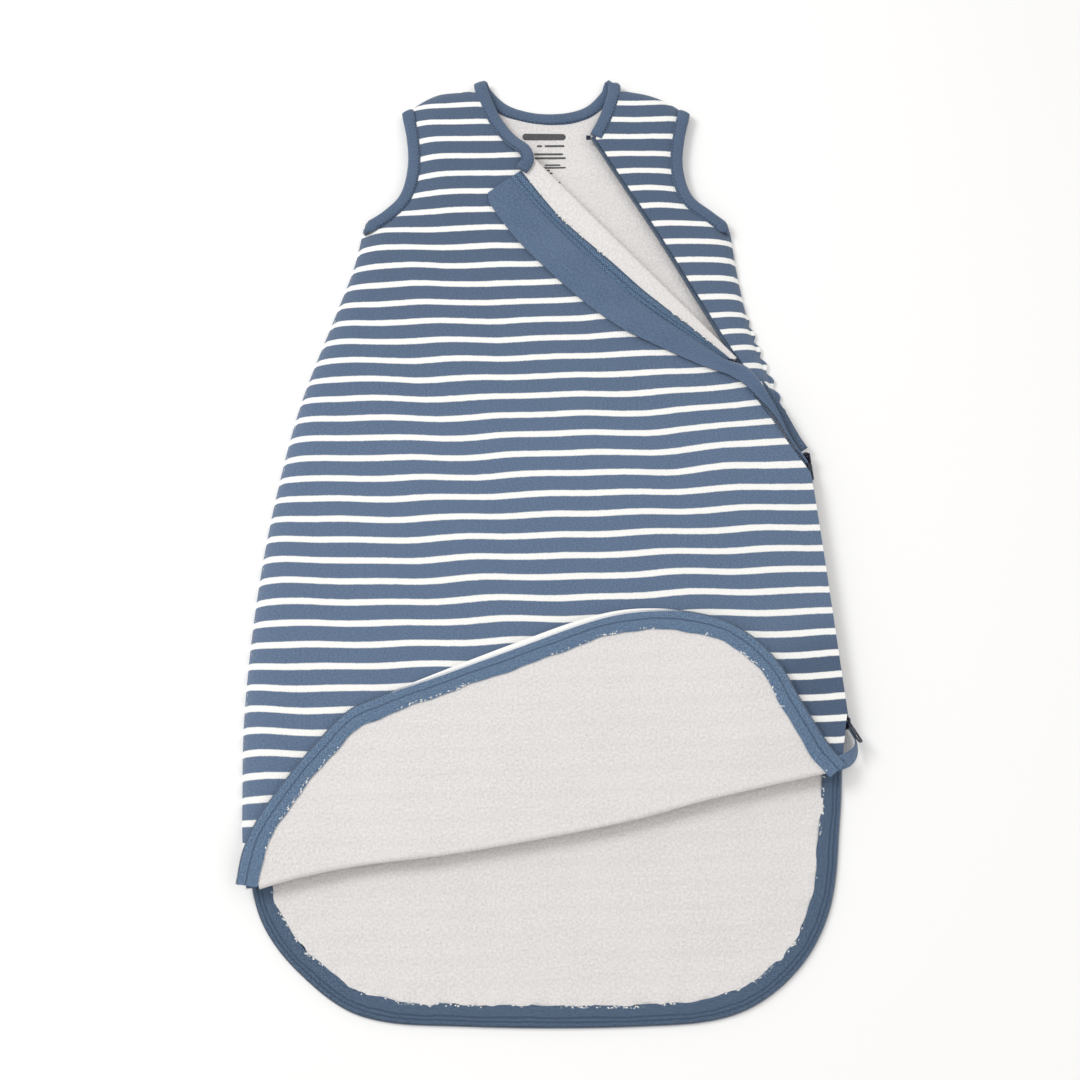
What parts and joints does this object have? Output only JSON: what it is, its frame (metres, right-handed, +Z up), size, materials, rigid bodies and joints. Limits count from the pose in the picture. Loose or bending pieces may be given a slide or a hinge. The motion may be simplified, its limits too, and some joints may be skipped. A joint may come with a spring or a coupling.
{
  "type": "baby sleeping bag",
  "caption": "Sleeveless striped baby sleeping bag lying flat, its diagonal neck zip and hem open, with a turned-back lapel and a folded-up hem flap.",
  "frame": {"origin": "under the middle of the bag's bounding box, on the surface that it lies on", "axes": "+Y from the hem to the neck, +X towards the side with the zip, +Z up out of the bag's front"},
  "size_m": [0.4197, 0.7004, 0.0165],
  "materials": {
    "striped_knit": "matte",
    "brushed_lining": "matte",
    "blue_trim": "matte",
    "nylon_coil": "satin",
    "slider_paint": "satin",
    "print_film": "matte"
  },
  "bodies": {
    "bag": {"back_outer": "striped_knit", "back_lining": "brushed_lining", "front_outer": "striped_knit", "front_lining": "brushed_lining", "side_front_outer": "striped_knit", "side_front_lining": "brushed_lining", "neck_binding": "blue_trim", "armhole_binding_left": "blue_trim", "armhole_binding_right": "blue_trim", "side_seam_left": "striped_knit", "side_seam_right": "striped_knit", "shoulder_seam_left": "blue_trim", "shoulder_seam_right": "blue_trim", "neck_print": "print_film", "zip_tape_hem_back": "blue_trim", "zip_coil_hem_back": "nylon_coil", "zip_tape_neck_right": "blue_trim", "zip_coil_neck_right": "nylon_coil", "zip_stop_right": "slider_paint", "zip_coil_neck_run": "nylon_coil", "zip_guard_end": "blue_trim", "zip_tape_side_front": "blue_trim", "zip_coil_side_front": "nylon_coil", "zip_tape_side_back": "blue_trim", "zip_coil_side_back": "nylon_coil", "zip_tape_loop": "blue_trim", "zip_end_stop": "slider_paint"},
    "flap": {"flap_outer": "striped_knit", "flap_lining": "brushed_lining", "zip_tape_hem_front": "blue_trim", "zip_coil_hem_front": "nylon_coil"},
    "lapel": {"lapel_outer": "striped_knit", "lapel_lining": "brushed_lining", "zip_tape_neck_left": "blue_trim", "zip_coil_neck_left": "nylon_coil", "zip_guard": "blue_trim"},
    "top_slider": {"slider_top": "slider_paint"},
    "top_pull": {"pull_top": "slider_paint"},
    "bottom_slider": {"slider_bottom": "slider_paint"},
    "bottom_pull": {"pull_bottom": "slider_paint"}
  },
  "joints": [
    {"name": "flap_fold", "type": "hinge", "parent": "bag", "child": "flap", "pos_m": [0, -0.2265, 0.01285], "axis": [0.9799, 0.1994, 0], "range_deg": [0, 179]},
    {"name": "lapel_fold", "type": "hinge", "parent": "bag", "child": "lapel", "pos_m": [-0.012, 0.274, 0.01285], "axis": [-0.6692, 0.7431, 0], "range_deg": [0, 179]},
    {"name": "top_slider_travel", "type": "slide", "parent": "bag", "child": "top_slider", "axis": [0.0928, -0.9957, 0], "range_m": [0, 0.07]},
    {"name": "top_pull_swing", "type": "hinge", "parent": "top_slider", "child": "top_pull", "pos_m": [0.18392, 0.03918, 0.0091], "axis": [-0.7627, -0.0711, 0.6428], "range_deg": [0, 165]},
    {"name": "bottom_slider_travel", "type": "slide", "parent": "bag", "child": "bottom_slider", "axis": [-0.0928, 0.9957, 0], "range_m": [0, 0.07]},
    {"name": "bottom_pull_swing", "type": "hinge", "parent": "bottom_slider", "child": "bottom_pull", "pos_m": [0.20172, -0.15182, 0.0091], "axis": [-0.7627, -0.0711, 0.6428], "range_deg": [0, 140]}
  ]
}
